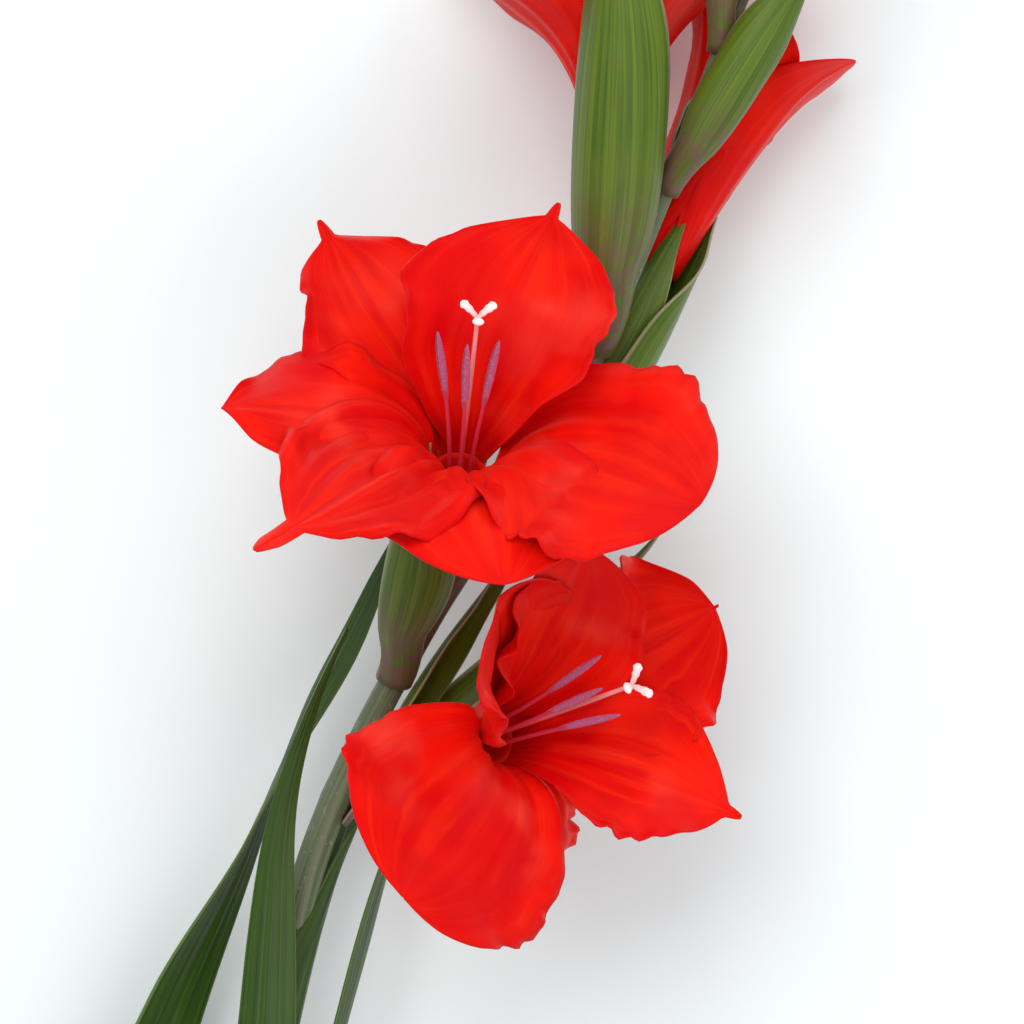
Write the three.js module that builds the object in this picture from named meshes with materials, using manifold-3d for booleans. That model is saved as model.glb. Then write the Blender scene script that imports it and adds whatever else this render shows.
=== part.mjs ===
// A cut gladiolus spike with its leaves, lying on a flat surface, in millimetres.
// +Y runs along the stem to its tip, +Z is up, and the origin is the bottom centre of the whole spike.
//
// Everything that grew as a sheet (tepal, bract, leaf) is one call of blade(), and everything that grew as
// a shoot (stem, tube, filament, style, bud) is one call of shoot(). Pieces that nest in each other are cut
// back at the end to a small gap, in the order of the list, so the first piece of the list stays whole.
import * as THREE from "three";
import { mergeVertices } from "three/addons/utils/BufferGeometryUtils.js";
import Module from "manifold-3d";

const wasm = await Module();
wasm.setup();

// ---------------------------------------------------------------- driving dimensions, mm and degrees
const GAP = 0.3; // clearance between pieces that touch
const STEM_RADIUS = 3.7;
const STEM_TIP_RADIUS = 1.1;
const STEM_BELOW = 258; // bare and leafy stem below the lowest flower
const INTERNODES = [30, 39, 38, 35, 30, 26, 22, 18]; // from each flower's node to the next
const STEM_RISE = 5.2; // slope of the stem, which the open flowers prop up
const TUBE_LENGTH = 50; // from the node to the mouth of a flower
const TUBE_RADIUS = 2.4;
const TUBE_WALL = 0.8;
const THROAT_DEPTH = 12; // how far down the tube is hollow
const MOUTH_RADIUS = 5.6;
const TEPAL_LENGTH = 55;
const TEPAL_WIDTH = 40;
const TEPAL_THICKNESS = 0.6;
const TEPAL_LAYER = 0.9; // outer tepals start this far outside the inner ones
const STAMEN_LENGTH = 29;
const FILAMENT_RADIUS = 0.55;
const ANTHER_LENGTH = 13;
const ANTHER_RADIUS = 1.1;
const STYLE_LENGTH = 35;
const STYLE_RADIUS = 0.6;
const STIGMA_LENGTH = 4.4;
const BRACT_LENGTH = 84;
const BRACT_RADIUS = 8.4; // of the sheath that a bract wraps
const BRACT_THICKNESS = 0.9;
const LEAF_THICKNESS = 1.0;
const LEAF_SHEATH_RADIUS = (STEM_RADIUS + GAP + LEAF_THICKNESS / 2) * 1.08; // the innermost sheath
const LEAF_SHEATH_PITCH = (LEAF_THICKNESS + GAP) * 1.35; // from one sheath to the next around it
const BUD_LENGTH = 50;
const BUD_RADIUS = 4.6;

// ---------------------------------------------------------------- colours and finishes
const finish = (color, roughness) =>
  new THREE.MeshStandardMaterial({ color, roughness, metalness: 0, side: THREE.DoubleSide });
const PETAL_RED = finish(0xe3120b, 0.45);
const STAMEN_PINK = finish(0xb8436b, 0.55);
const STYLE_WHITE = finish(0xf4cfc6, 0.5);
const STEM_GREEN = finish(0x6f8a4e, 0.5);
const BRACT_GREEN = finish(0x5d8a2c, 0.5);
const LEAF_GREEN = finish(0x2c5a18, 0.42);
const BUD_GREEN = finish(0x7f9c46, 0.5);

// ---------------------------------------------------------------- small helpers
const { cos, sin, PI, min, max, floor } = Math;
const rad = THREE.MathUtils.degToRad;
const vec = (x, y, z) => new THREE.Vector3(x, y, z);
const mix = (a, b, t) => a + (b - a) * t;

// What make gives for t at every step from 0 to 1, both ends included.
const evenly = (steps, make) => Array.from({ length: steps + 1 }, (_, i) => make(i / steps));

// A direction: yaw turns from +Y towards +X, pitch lifts it above the surface.
const heading = (yaw, pitch) =>
  vec(sin(rad(yaw)) * cos(rad(pitch)), cos(rad(yaw)) * cos(rad(pitch)), sin(rad(pitch)));

// A smooth curve through evenly spaced values, read at t from 0 to 1.
function through(values, t) {
  const last = values.length - 1;
  const x = min(max(t, 0), 1) * last;
  const i = min(floor(x), last - 1);
  const f = x - i;
  const [a, b, c, d] = [max(i - 1, 0), i, i + 1, min(i + 2, last)].map((k) => values[k]);
  return b + 0.5 * f * (c - a + f * (2 * a - 5 * b + 4 * c - d + f * (3 * (b - c) + d - a)));
}

// Half-width of a sheet as a share of its widest: from base at t 0, to 1 at widest, to a tip at 1.
function outline(t, { base, widest, blunt }) {
  const share =
    t < widest
      ? base + (1 - base) * sin(((PI / 2) * t) / widest) ** 1.3
      : max(1 - ((t - widest) / (1 - widest)) ** 2, 0) ** blunt;
  return max(share, 0.02);
}

// Frames along a line: its tangent, the inner face's normal, and the sideways direction between them.
function framesAlong(line, firstNormal) {
  const frames = [];
  let normal = firstNormal.clone();
  line.forEach((point, i) => {
    const ahead = line[min(i + 1, line.length - 1)];
    const behind = line[max(i - 1, 0)];
    const tangent = ahead.clone().sub(behind).normalize();
    normal = normal.clone().addScaledVector(tangent, -normal.dot(tangent)).normalize();
    frames.push({ point, tangent, normal, side: tangent.clone().cross(normal) });
  });
  return frames;
}

// A closed solid from rings of points, each having the same even count, with both ends capped.
function solidOfRings(rings) {
  const around = rings[0].length;
  const points = rings.flat();
  const faces = [];
  for (let i = 0; i + 1 < rings.length; i++)
    for (let j = 0; j < around; j++) {
      const a = i * around + j;
      const b = i * around + ((j + 1) % around);
      faces.push(a, b, b + around, a, b + around, a + around);
    }
  // A cap is a ladder between the two halves of its ring, which also closes a ring that curls like a C.
  const cap = (first, flip) => {
    for (let j = 0; j + 1 < around / 2; j++) {
      const [a, b, c, d] = [j, j + 1, around - 2 - j, around - 1 - j].map((k) => first + k);
      faces.push(...(flip ? [a, c, b, a, d, c] : [a, b, c, a, c, d]));
    }
  };
  cap(0, true);
  cap(points.length - around, false);
  return new THREE.BufferGeometry().setFromPoints(points).setIndex(faces);
}

// ---------------------------------------------------------------- the two generators
// Both return grow => geometry, where grow is how far the solid's skin moves out.

// A round shoot along a line, whose radius is read at t from 0 to 1. squash flattens it along its normal.
function shoot(line, radius, sides = 8, squash = 1, firstNormal = vec(0.1, 0.2, 1)) {
  const frames = framesAlong(line, firstNormal);
  return (grow) =>
    solidOfRings(
      frames.map(({ point, tangent, normal, side }, i) => {
        const t = i / (frames.length - 1);
        const end = i === 0 ? -grow : i === frames.length - 1 ? grow : 0;
        const r = radius(t) + grow;
        return Array.from({ length: sides }, (_, k) => {
          const a = (2 * PI * k) / sides;
          return point
            .clone()
            .addScaledVector(side, r * cos(a))
            .addScaledVector(normal, -(r * squash + grow * (1 - squash)) * sin(a))
            .addScaledVector(tangent, end);
        });
      }),
    );
}

// A sheet along frames: half(t) is its half-width and curl(t) its curvature towards the normal, in 1/mm.
function blade(frames, half, curl, thickness, columns = 6) {
  return (grow) => {
    const rings = frames.map(({ point, tangent, normal, side }, i) => {
      const t = i / (frames.length - 1);
      const end = i === 0 ? -grow : i === frames.length - 1 ? grow : 0;
      const reach = half(t) + grow;
      const bend = curl(t);
      const faces = [1, -1].map((face) =>
        Array.from({ length: columns + 1 }, (_, k) => {
          const across = reach * mix(-1, 1, k / columns);
          const angle = across * bend;
          const flat = Math.abs(angle) < 1e-6;
          const lift = face * (thickness / 2 + grow);
          return point
            .clone()
            .addScaledVector(side, (flat ? across : sin(angle) / bend) - lift * sin(angle))
            .addScaledVector(normal, (flat ? 0 : (1 - cos(angle)) / bend) + lift * cos(angle))
            .addScaledVector(tangent, end);
        }),
      );
      return [...faces[0], ...faces[1].reverse()];
    });
    return solidOfRings(rings);
  };
}

// ---------------------------------------------------------------- stem
// Sideways sway of the stem, from its cut end to its tip: a slow double bend.
const STEM_SWAY = [21, 20, 17.5, 13.5, 6, -4.2, -3.6, 3.6, 2.6, -0.5, -0.5];
const stemLength = STEM_BELOW + INTERNODES.reduce((a, b) => a + b, 0);
const nodeHeights = INTERNODES.reduce((list, gap) => [...list, list.at(-1) + gap], [0]);

// A point on the stem's axis, y being measured from the lowest flower's node.
function stemPoint(y) {
  const sway = through(STEM_SWAY, (y + STEM_BELOW) / stemLength);
  return vec(sway, y, (y + STEM_BELOW) * Math.tan(rad(STEM_RISE)));
}
const stemRadius = (t) => mix(STEM_RADIUS, STEM_TIP_RADIUS, max(0, t - 0.35) / 0.65);
const radiusAt = (y) => stemRadius((y + STEM_BELOW) / stemLength);
const stemLine = evenly(32, (t) => stemPoint(mix(-STEM_BELOW, nodeHeights.at(-1), t)));

const pieces = []; // { mesh, solid } in the order in which they keep their shape
const spike = new THREE.Group();

function add(name, material, solid, group = spike) {
  const mesh = new THREE.Mesh(solid(0), material);
  mesh.name = name;
  group.add(mesh);
  pieces.push({ mesh, solid });
}

add("stem", STEM_GREEN, shoot(stemLine, stemRadius, 10));

// ---------------------------------------------------------------- flowers
// A flower sits beside the stem at the angle side (0 is +X, 90 is up). rise and face are [yaw, pitch]: how
// its tube sets out and where the open flower looks. reach leads from its foot to its mouth, in tube lengths.
// A tepal's around is its place on the mouth, 90 being the hooded side over the stamens, and bend lists the
// angle between its middle line and the flower's axis, from the mouth to the tip. Some tepals also say where
// they are widest, how blunt they are (smaller is rounder) and how far they lean, in tepal lengths.
const FLOWERS = [
  {
    side: -20,
    rise: [12, 14],
    reach: [0.32, 0.49, 0.51],
    face: [42, 52],
    open: true,
    outerBract: { yaw: 18, pitch: 5, keel: -20, wrap: [114, 104, 84, 65, 40], girth: 1, length: 0.98 },
    innerBract: { yaw: 10, pitch: 8, keel: -150, wrap: [50, 65, 60, 50, 35], girth: 0.72, length: 0.7 },
    tepals: [
      { around: 36, bend: [14, 42, 62, 66], length: 0.92, width: 0.88, cup: 12, blunt: 0.95 },
      { around: 98, bend: [14, 46, 62, 76], length: 0.92, width: 1.05, cup: 14 },
      { around: 156, bend: [10, 33, 46, 58], length: 0.8, width: 1.0, cup: 16 },
      { around: 207, bend: [10, 34, 40, 44], length: 0.8, width: 1.0, cup: 12 },
      { around: 294, bend: [18, 74, 102, 95], length: 0.9, width: 1.42, cup: -10, blunt: 0.5, widest: 0.6 },
      { around: 352, bend: [24, 92, 140, 165], length: 0.66, width: 0.7, cup: -10 },
    ],
  },
  {
    side: 110,
    rise: [-8, 24],
    reach: [-0.12, 0.8, 0.44],
    face: [-21, 45],
    open: true,
    outerBract: { yaw: -12, pitch: 24, keel: 150, wrap: [112, 124, 120, 90, 50], girth: 0.9, length: 0.62 },
    innerBract: { yaw: -10, pitch: 8, keel: -60, wrap: [50, 65, 60, 50, 35], girth: 0.8, length: 0.9 },
    tepals: [
      {
        around: 72, bend: [10, 34, 46, 58], length: 1.0, width: 1.25, cup: 4,
        widest: 0.55, blunt: 0.9, lean: 0.07,
      },
      { around: 128, bend: [16, 58, 70, 66], length: 1.0, width: 0.98, cup: 14 },
      { around: 190, bend: [12, 55, 84, 84], length: 1.0, width: 0.85, cup: -8, blunt: 1.0 },
      { around: 230, bend: [14, 62, 84, 78], length: 1.3, width: 1.0, cup: -12, widest: 0.5, blunt: 0.9 },
      { around: 278, bend: [14, 54, 84, 104], length: 0.96, width: 1.2, cup: -8 },
      { around: 329, bend: [14, 56, 78, 86], length: 1.03, width: 1.42, cup: -8, blunt: 0.6 },
    ],
  },
  {
    side: -20,
    rise: [6, -2],
    reach: [0.03, 1.12, -0.11],
    face: [3, -7],
    open: false,
    outerBract: { yaw: 3, pitch: -4, keel: -20, wrap: [100, 112, 106, 95, 50], girth: 0.98, length: 0.84 },
    innerBract: { yaw: 5, pitch: -4, keel: 120, wrap: [30, 50, 70, 60, 35], girth: 0.74, length: 0.74 },
    tepals: [
      { around: 30, bend: [2, 6, 14, 42], length: 1.05, width: 0.42, cup: 0 },
      { around: 90, bend: [2, 6, 14, 42], length: 1.02, width: 0.42, cup: 0 },
      { around: 150, bend: [2, 6, 14, 42], length: 1.05, width: 0.42, cup: 0 },
      { around: 210, bend: [2, 6, 14, 42], length: 1.02, width: 0.42, cup: 0 },
      { around: 270, bend: [2, 6, 14, 36], length: 1.0, width: 0.42, cup: 0 },
      { around: 330, bend: [2, 6, 14, 42], length: 1.05, width: 0.42, cup: 0 },
    ],
  },
  {
    side: 104,
    rise: [-20, 2],
    reach: [-0.34, 0.88, -0.15],
    face: [-26, -10],
    open: false,
    outerBract: { yaw: -21, pitch: 5, keel: 125, wrap: [112, 124, 112, 95, 50], girth: 1.14, length: 1.14 },
    innerBract: { yaw: -22, pitch: -2, keel: 0, wrap: [30, 50, 60, 50, 30], girth: 0.86, length: 0.6 },
    tepals: [
      { around: 30, bend: [12, 34, 44, 46], length: 0.95, width: 0.9, cup: 10 },
      { around: 90, bend: [14, 33, 34, 26], length: 0.88, width: 0.9, cup: 10 },
      { around: 150, bend: [12, 34, 50, 60], length: 0.95, width: 0.9, cup: 8 },
      { around: 210, bend: [14, 48, 74, 84], length: 0.98, width: 0.85, cup: 4 },
      { around: 270, bend: [8, 18, 26, 30], length: 0.95, width: 0.9, cup: 8 },
      { around: 326, bend: [14, 44, 62, 74], length: 0.9, width: 0.8, cup: 8 },
    ],
  },
];

// Where each filament leaves the throat, and how far its tip leans to the hooded side and aside.
const STAMENS = [
  { place: 180, lean: 4, aside: -3.4 },
  { place: 270, lean: 3, aside: -1 },
  { place: 0, lean: 3, aside: 1.6 },
];

// The tube is hollow near its mouth, so that the throat of the flower is open.
function tube(line) {
  const radius = (t) => mix(TUBE_RADIUS, MOUTH_RADIUS, t ** 2);
  const start = 1 - THROAT_DEPTH / TUBE_LENGTH;
  const way = line.at(-1).clone().sub(line.at(-2)).normalize();
  const bore = line.filter((_, i) => i / (line.length - 1) >= start - 1e-6);
  bore.push(line.at(-1).clone().addScaledVector(way, 1));
  const outside = shoot(line, radius, 10);
  const inside = shoot(bore, (t) => radius(mix(start, 1, t)) - TUBE_WALL, 10);
  return (grow) => {
    if (grow > 0) return outside(grow);
    return geometryOf(manifoldOf(outside(0)).subtract(manifoldOf(inside(0))));
  };
}

// A tepal in its flower's frame, where the mouth is at the origin and the flower looks along +Z.
function tepal(spec, layer, rows = 8) {
  const { widest = 0.58, blunt = 0.72, lean = 0 } = spec;
  const around = rad(spec.around);
  const out = vec(cos(around), sin(around), 0);
  const axis = vec(0, 0, 1);
  const length = TEPAL_LENGTH * spec.length;
  const halfWidth = (TEPAL_WIDTH * spec.width) / 2;
  const part = 6;
  const frames = [];
  let reach = MOUTH_RADIUS + layer;
  let height = GAP - layer;
  for (let i = 0; i <= rows * part; i++) {
    const t = i / (rows * part);
    const bend = rad(through(spec.bend, t));
    if (i > 0) {
      reach += (sin(bend) * length) / (rows * part);
      height += (cos(bend) * length) / (rows * part);
    }
    if (i % part) continue;
    const tangent = axis.clone().multiplyScalar(cos(bend)).addScaledVector(out, sin(bend));
    const normal = axis.clone().multiplyScalar(sin(bend)).addScaledVector(out, -cos(bend));
    const side = tangent.clone().cross(normal);
    const point = out.clone().multiplyScalar(reach).addScaledVector(axis, height);
    point.addScaledVector(side, lean * length * t * t);
    frames.push({ point, tangent, normal, side, wrap: cos(bend) / reach });
  }
  const base = (0.88 * (MOUTH_RADIUS + layer) * PI) / 6 / halfWidth;
  const half = (t) => halfWidth * outline(t, { base, widest, blunt });
  const curl = (t) => through(frames.map((f) => f.wrap), t) + (rad(spec.cup) / halfWidth) * t;
  return blade(frames, half, curl, TEPAL_THICKNESS, 5);
}

// A stamen or style: it leaves the throat at its own place there and arches towards the hooded side.
function arch(length, place, lean, aside, steps = 8) {
  const start = vec(cos(rad(place)), sin(rad(place)), 0).multiplyScalar(1.7);
  return evenly(steps, (t) => {
    const height = mix(GAP - THROAT_DEPTH, length, t);
    return start.clone().add(vec(aside * t * t, lean * t * t, height));
  });
}

function stamen({ place, lean, aside }) {
  const filament = arch(STAMEN_LENGTH - ANTHER_LENGTH * 0.7, place, lean, aside, 5);
  const foot = filament.at(-1);
  const way = foot.clone().sub(filament.at(-2)).normalize();
  const anther = evenly(4, (t) => foot.clone().addScaledVector(way, mix(-0.3, 1, t) * ANTHER_LENGTH));
  const parts = [
    shoot(filament, () => FILAMENT_RADIUS, 6),
    shoot(anther, (t) => ANTHER_RADIUS * max(0.25, sin(PI * mix(0.06, 0.94, t)) ** 0.5), 6, 0.6),
  ];
  return (grow) => joined(parts.map((part) => part(grow)));
}

function pistil() {
  const line = arch(STYLE_LENGTH, 90, 7, 0, 6);
  const tip = line.at(-1);
  const lobes = [30, 150, 270].map((turn) => {
    const way = vec(cos(rad(turn)), sin(rad(turn)), 0.55).normalize();
    const lobe = evenly(3, (t) => tip.clone().addScaledVector(way, mix(-0.12, 1, t) * STIGMA_LENGTH));
    return shoot(lobe, (t) => mix(0.45, 1, sin((PI / 2) * t)) * STYLE_RADIUS * 1.6, 6);
  });
  return (grow) => joined([shoot(line, () => STYLE_RADIUS, 6), ...lobes].map((part) => part(grow)));
}

// A bract wraps an imaginary sheath that starts at a point and runs straight along way, keel outwards.
function bract(start, way, { keel, wrap, girth, length }, rows = 8) {
  const outward = way.clone().cross(vec(0, 0, 1)).normalize().applyAxisAngle(way, rad(-keel));
  const radii = [0.52, 0.88, 1, 0.94, 0.78].map((share) => share * girth);
  const radius = (t) => through(radii, t);
  const line = evenly(rows, (t) =>
    start
      .clone()
      .addScaledVector(way, length * t)
      .addScaledVector(outward, radius(t)),
  );
  const taper = (t) => outline(t, { base: 1, widest: 0.45, blunt: 0.8 });
  const half = (t) => radius(t) * rad(through(wrap, t)) * taper(t);
  const frames = framesAlong(line, outward.clone().negate());
  return blade(frames, half, (t) => 1 / radius(t), BRACT_THICKNESS, 8);
}

FLOWERS.forEach((flower, index) => {
  const name = `flower_${index + 1}`;
  const rise = heading(...flower.rise);
  const face = heading(...flower.face);
  const node = stemPoint(nodeHeights[index]);
  const beside = vec(cos(rad(flower.side)), 0, sin(rad(flower.side)));
  const foot = node.clone().addScaledVector(beside, radiusAt(nodeHeights[index]) + TUBE_RADIUS + GAP);
  const mouth = foot.clone().addScaledVector(vec(...flower.reach), TUBE_LENGTH);
  const bendStart = foot.clone().addScaledVector(rise, TUBE_LENGTH / 3);
  const bendEnd = mouth.clone().addScaledVector(face, -TUBE_LENGTH / 3);
  const line = new THREE.CubicBezierCurve3(foot, bendStart, bendEnd, mouth).getPoints(8);

  // The flower's own frame: +Z along its axis, +Y towards the hooded side.
  const head = new THREE.Group();
  const across = face.clone().cross(vec(0, 0, 1)).normalize();
  const axes = new THREE.Matrix4().makeBasis(across, face.clone().cross(across), face);
  head.quaternion.setFromRotationMatrix(axes);
  head.position.copy(mouth);
  spike.add(head);

  if (flower.open) {
    add(`${name}_style`, STYLE_WHITE, pistil(), head);
    STAMENS.forEach((spec, k) => add(`${name}_stamen_${k + 1}`, STAMEN_PINK, stamen(spec), head));
  }
  const inner = flower.tepals.map((spec, k) => [spec, k]).filter(([, k]) => k % 2 === 0);
  const outer = flower.tepals.map((spec, k) => [spec, k]).filter(([, k]) => k % 2 === 1);
  inner.forEach(([spec, k]) => add(`${name}_tepal_${k + 1}`, PETAL_RED, tepal(spec, 0), head));
  outer.forEach(([spec, k]) => add(`${name}_tepal_${k + 1}`, PETAL_RED, tepal(spec, TEPAL_LAYER), head));
  add(`${name}_tube`, PETAL_RED, tube(line));
  [
    ["inner_bract", flower.innerBract, line[1]],
    ["outer_bract", flower.outerBract, foot],
  ].forEach(([part, { yaw, pitch, keel, wrap, girth, length }, start]) => {
    const shape = { keel, wrap, girth: BRACT_RADIUS * girth, length: BRACT_LENGTH * length };
    add(`${name}_${part}`, BRACT_GREEN, bract(start, heading(yaw, pitch), shape));
  });
});

// ---------------------------------------------------------------- buds
// Each bud sits beside the stem like a flower does and is held in a bract; the last one ends the stem.
const BUDS = [
  { side: 75, yaw: 5, size: 1, bracts: ["outer", "inner"] },
  { side: 150, yaw: -9, size: 0.84, bracts: ["outer"] },
  { side: 30, yaw: 9, size: 0.7, bracts: ["outer"] },
  { side: 150, yaw: -9, size: 0.56, bracts: ["outer"] },
  { side: 0, yaw: 0, size: 0.46, bracts: [] },
];

BUDS.forEach(({ side, yaw, size, bracts }, i) => {
  const name = `bud_${FLOWERS.length + 1 + i}`;
  const way = heading(yaw, STEM_RISE);
  const height = nodeHeights[FLOWERS.length + i];
  const swell = [0.34, 0.66, 0.94, 1, 0.84, 0.3];
  const girth = BUD_RADIUS * size;
  const sheath = girth + BRACT_THICKNESS / 2 + 2 * GAP;
  const beside = vec(cos(rad(side)), 0, sin(rad(side)));
  const away = bracts.length ? radiusAt(height) + girth * swell[0] + GAP : 0;
  const foot = stemPoint(height + (bracts.length ? 0 : GAP)).addScaledVector(beside, away);
  const line = evenly(6, (t) => foot.clone().addScaledVector(way, BUD_LENGTH * size * t));
  add(name, i < 2 ? PETAL_RED : BUD_GREEN, shoot(line, (t) => girth * through(swell, t)));
  bracts.forEach((layer) => {
    const outer = layer === "outer";
    const shape = {
      keel: outer ? side : side + 180,
      wrap: outer ? [100, 116, 100, 80, 50] : [30, 50, 50, 45, 30],
      girth: sheath,
      length: BUD_LENGTH * size * (outer ? 1.1 : 0.5),
    };
    add(`${name}_${layer}_bract`, BRACT_GREEN, bract(foot, way, shape, 7));
  });
});

// ---------------------------------------------------------------- leaves
// Each list runs evenly from the foot of a leaf to its tip. aside and above lead the leaf away from the
// stem, turn rolls it round its own line (0 has its keel uppermost) and wrap folds it, in degrees each side.
const LEAVES = [
  {
    name: "leaf_sheath",
    layer: 0,
    from: -114,
    to: 30,
    aside: [0, 0, 0, 0, 1, 2, 3],
    above: [0, 0, 0, 0, -4, -9, -11],
    turn: [90, 90, 90, 84, 96, 120, 130],
    width: [0, 0, 0, 20, 12, 8, 0.6],
    wrap: [160, 160, 158, 130, 70, 20, 10],
  },
  {
    name: "leaf_front",
    layer: 1,
    from: -162,
    to: 32,
    aside: [0, 0, 0, 0.5, -5, -12.2, -16.6],
    above: [0, 0, 0, 0, 3, 6, 7],
    turn: [0, 0, 0, 0, 4, 12, 20],
    width: [0, 0, 20, 14, 10, 4.4, 0.4],
    wrap: [160, 160, 130, 40, 22, 18, 8],
  },
  {
    name: "leaf_edge",
    layer: 2,
    from: -142,
    to: 40,
    aside: [0, 0, 4, 6, 7.5, 6, 0],
    above: [0, 0, -3, -6, -11, -17, -22],
    turn: [90, 90, 86, 74, 72, 80, 90],
    width: [0, 0, 14, 10, 9, 7, 0.6],
    wrap: [150, 130, 50, 20, 14, 12, 8],
  },
  {
    name: "leaf_back",
    layer: 0,
    from: -210,
    to: 64,
    aside: [0, -3.5, -13, -22, -18, -8, -8, -13],
    above: [0, 0, -2, -3, -6, -9, -10, -11],
    turn: [-95, -100, -130, -150, -150, -115, -40, -20],
    width: [0, 20, 17, 16, 14, 8, 6.4, 0.6],
    wrap: [160, 86, 30, 15, 12, 16, 12, 8],
  },
  {
    name: "leaf_low",
    layer: 0,
    from: -248,
    to: -102,
    aside: [0, 2.5, 9, 14, 17, 18],
    above: [0, 0, 0, -1, -3, -5],
    turn: [60, 60, 50, 30, 10, 0],
    width: [0, 18, 14, 11, 7, 0.6],
    wrap: [160, 86, 36, 20, 12, 8],
  },
];

function leaf({ from, to, layer, aside, above, turn, width, wrap }, rows = 14) {
  const radius = LEAF_SHEATH_RADIUS + layer * LEAF_SHEATH_PITCH;
  const frames = evenly(rows, (t) => {
    const y = mix(from, to, t);
    const roll = rad(through(turn, t));
    const keel = vec(sin(roll), 0, cos(roll));
    const shift = vec(through(aside, t), 0, through(above, t));
    return { point: stemPoint(y).add(shift).addScaledVector(keel, radius), keel };
  });
  const tangents = framesAlong(frames.map((f) => f.point), vec(0, 0, 1)).map((f) => f.tangent);
  frames.forEach((frame, i) => {
    frame.tangent = tangents[i];
    frame.normal = frame.keel.clone().negate();
    frame.normal.addScaledVector(frame.tangent, -frame.normal.dot(frame.tangent)).normalize();
    frame.side = frame.tangent.clone().cross(frame.normal);
  });
  // Where it wraps the stem a leaf is as wide as its sheath needs; further on it has its own width.
  const half = (t) => max(through(width, t) / 2, radius * rad(through(wrap, t)) * (t < 0.5 ? 1 : 0));
  return blade(frames, half, (t) => rad(through(wrap, t)) / half(t), LEAF_THICKNESS, 10);
}

LEAVES.forEach((spec) => add(spec.name, LEAF_GREEN, leaf(spec)));

// ---------------------------------------------------------------- joining, cutting and placing
function manifoldOf(geometry) {
  const plain = new THREE.BufferGeometry();
  plain.setAttribute("position", geometry.getAttribute("position")).setIndex(geometry.index);
  const merged = mergeVertices(plain, 1e-4);
  const vertProperties = merged.attributes.position.array;
  const triVerts = new Uint32Array(merged.index.array);
  return new wasm.Manifold(new wasm.Mesh({ numProp: 3, vertProperties, triVerts }));
}

function geometryOf(solid) {
  const { vertProperties, triVerts } = solid.getMesh();
  const geometry = new THREE.BufferGeometry();
  geometry.setAttribute("position", new THREE.BufferAttribute(vertProperties, 3));
  return geometry.setIndex(new THREE.BufferAttribute(triVerts, 1));
}

function joined(geometries) {
  return geometryOf(geometries.map(manifoldOf).reduce((sum, part) => sum.add(part)));
}

// Cuts every piece back from the earlier ones that it runs into, and keeps its largest part.
function cutBack() {
  spike.updateMatrixWorld(true);
  const inWorld = ({ mesh, solid }, grow) => manifoldOf(solid(grow).applyMatrix4(mesh.matrixWorld));
  const grown = pieces.map((piece) => inWorld(piece, GAP));
  pieces.forEach((piece, i) => {
    let shape = inWorld(piece, 0);
    let cut = false;
    for (const other of grown.slice(0, i)) {
      if (shape.intersect(other).volume() < 0.01) continue;
      shape = shape.subtract(other);
      cut = true;
    }
    if (!cut) return;
    const largest = shape.decompose().reduce((a, b) => (a.volume() > b.volume() ? a : b));
    piece.mesh.geometry = geometryOf(largest).applyMatrix4(piece.mesh.matrixWorld.clone().invert());
  });
}
cutBack();

// The lowest point of some pieces, in world coordinates.
function lowestPoint(names) {
  spike.updateMatrixWorld(true);
  let lowest = vec(0, 0, Infinity);
  for (const { mesh } of pieces) {
    if (!names.test(mesh.name)) continue;
    const { position } = mesh.geometry.attributes;
    for (let i = 0; i < position.count; i++) {
      const point = vec().fromBufferAttribute(position, i).applyMatrix4(mesh.matrixWorld);
      if (point.z < lowest.z) lowest = point;
    }
  }
  return lowest;
}

// The spike tips and rolls until its cut end and its two upper flowers touch the surface together.
function layDown() {
  for (let pass = 0; pass < 12; pass++) {
    const [a, b, c] = [/^(stem|leaf_low)$/, /^flower_3_/, /^flower_4_/].map(lowestPoint);
    const up = b.sub(a).cross(c.sub(a)).normalize();
    spike.quaternion.premultiply(new THREE.Quaternion().setFromUnitVectors(up, vec(0, 0, 1)));
  }
}
layDown();

const box = new THREE.Box3().setFromObject(spike, true);
spike.position.set(-(box.min.x + box.max.x) / 2, -(box.min.y + box.max.y) / 2, -box.min.z);

export default spike;
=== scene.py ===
"""The looks of a cut gladiolus spike that lies on a pale floor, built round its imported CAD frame.

Lengths are in millimetres while a piece is worked out and become metres when its mesh is made.
The spike is worked out as it grew, along +Y, with the CAD model's own driving sizes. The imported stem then
says how it was laid down, and every piece is laid down with it.
"""

import math
import random

import bpy
import numpy as np
from mathutils import Matrix, Vector


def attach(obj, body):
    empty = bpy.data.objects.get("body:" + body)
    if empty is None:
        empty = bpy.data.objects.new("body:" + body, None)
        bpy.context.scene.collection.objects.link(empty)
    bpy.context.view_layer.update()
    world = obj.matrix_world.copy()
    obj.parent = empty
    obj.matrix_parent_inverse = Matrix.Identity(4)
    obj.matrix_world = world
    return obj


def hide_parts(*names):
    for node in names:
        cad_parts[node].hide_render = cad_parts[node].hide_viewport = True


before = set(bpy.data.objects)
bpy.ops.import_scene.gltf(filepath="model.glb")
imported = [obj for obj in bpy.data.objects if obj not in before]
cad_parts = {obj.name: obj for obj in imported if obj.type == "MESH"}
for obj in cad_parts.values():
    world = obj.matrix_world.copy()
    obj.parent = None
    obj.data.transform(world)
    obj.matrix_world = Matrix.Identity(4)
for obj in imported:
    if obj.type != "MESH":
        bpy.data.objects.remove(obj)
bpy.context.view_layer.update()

MM = 0.001

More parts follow.
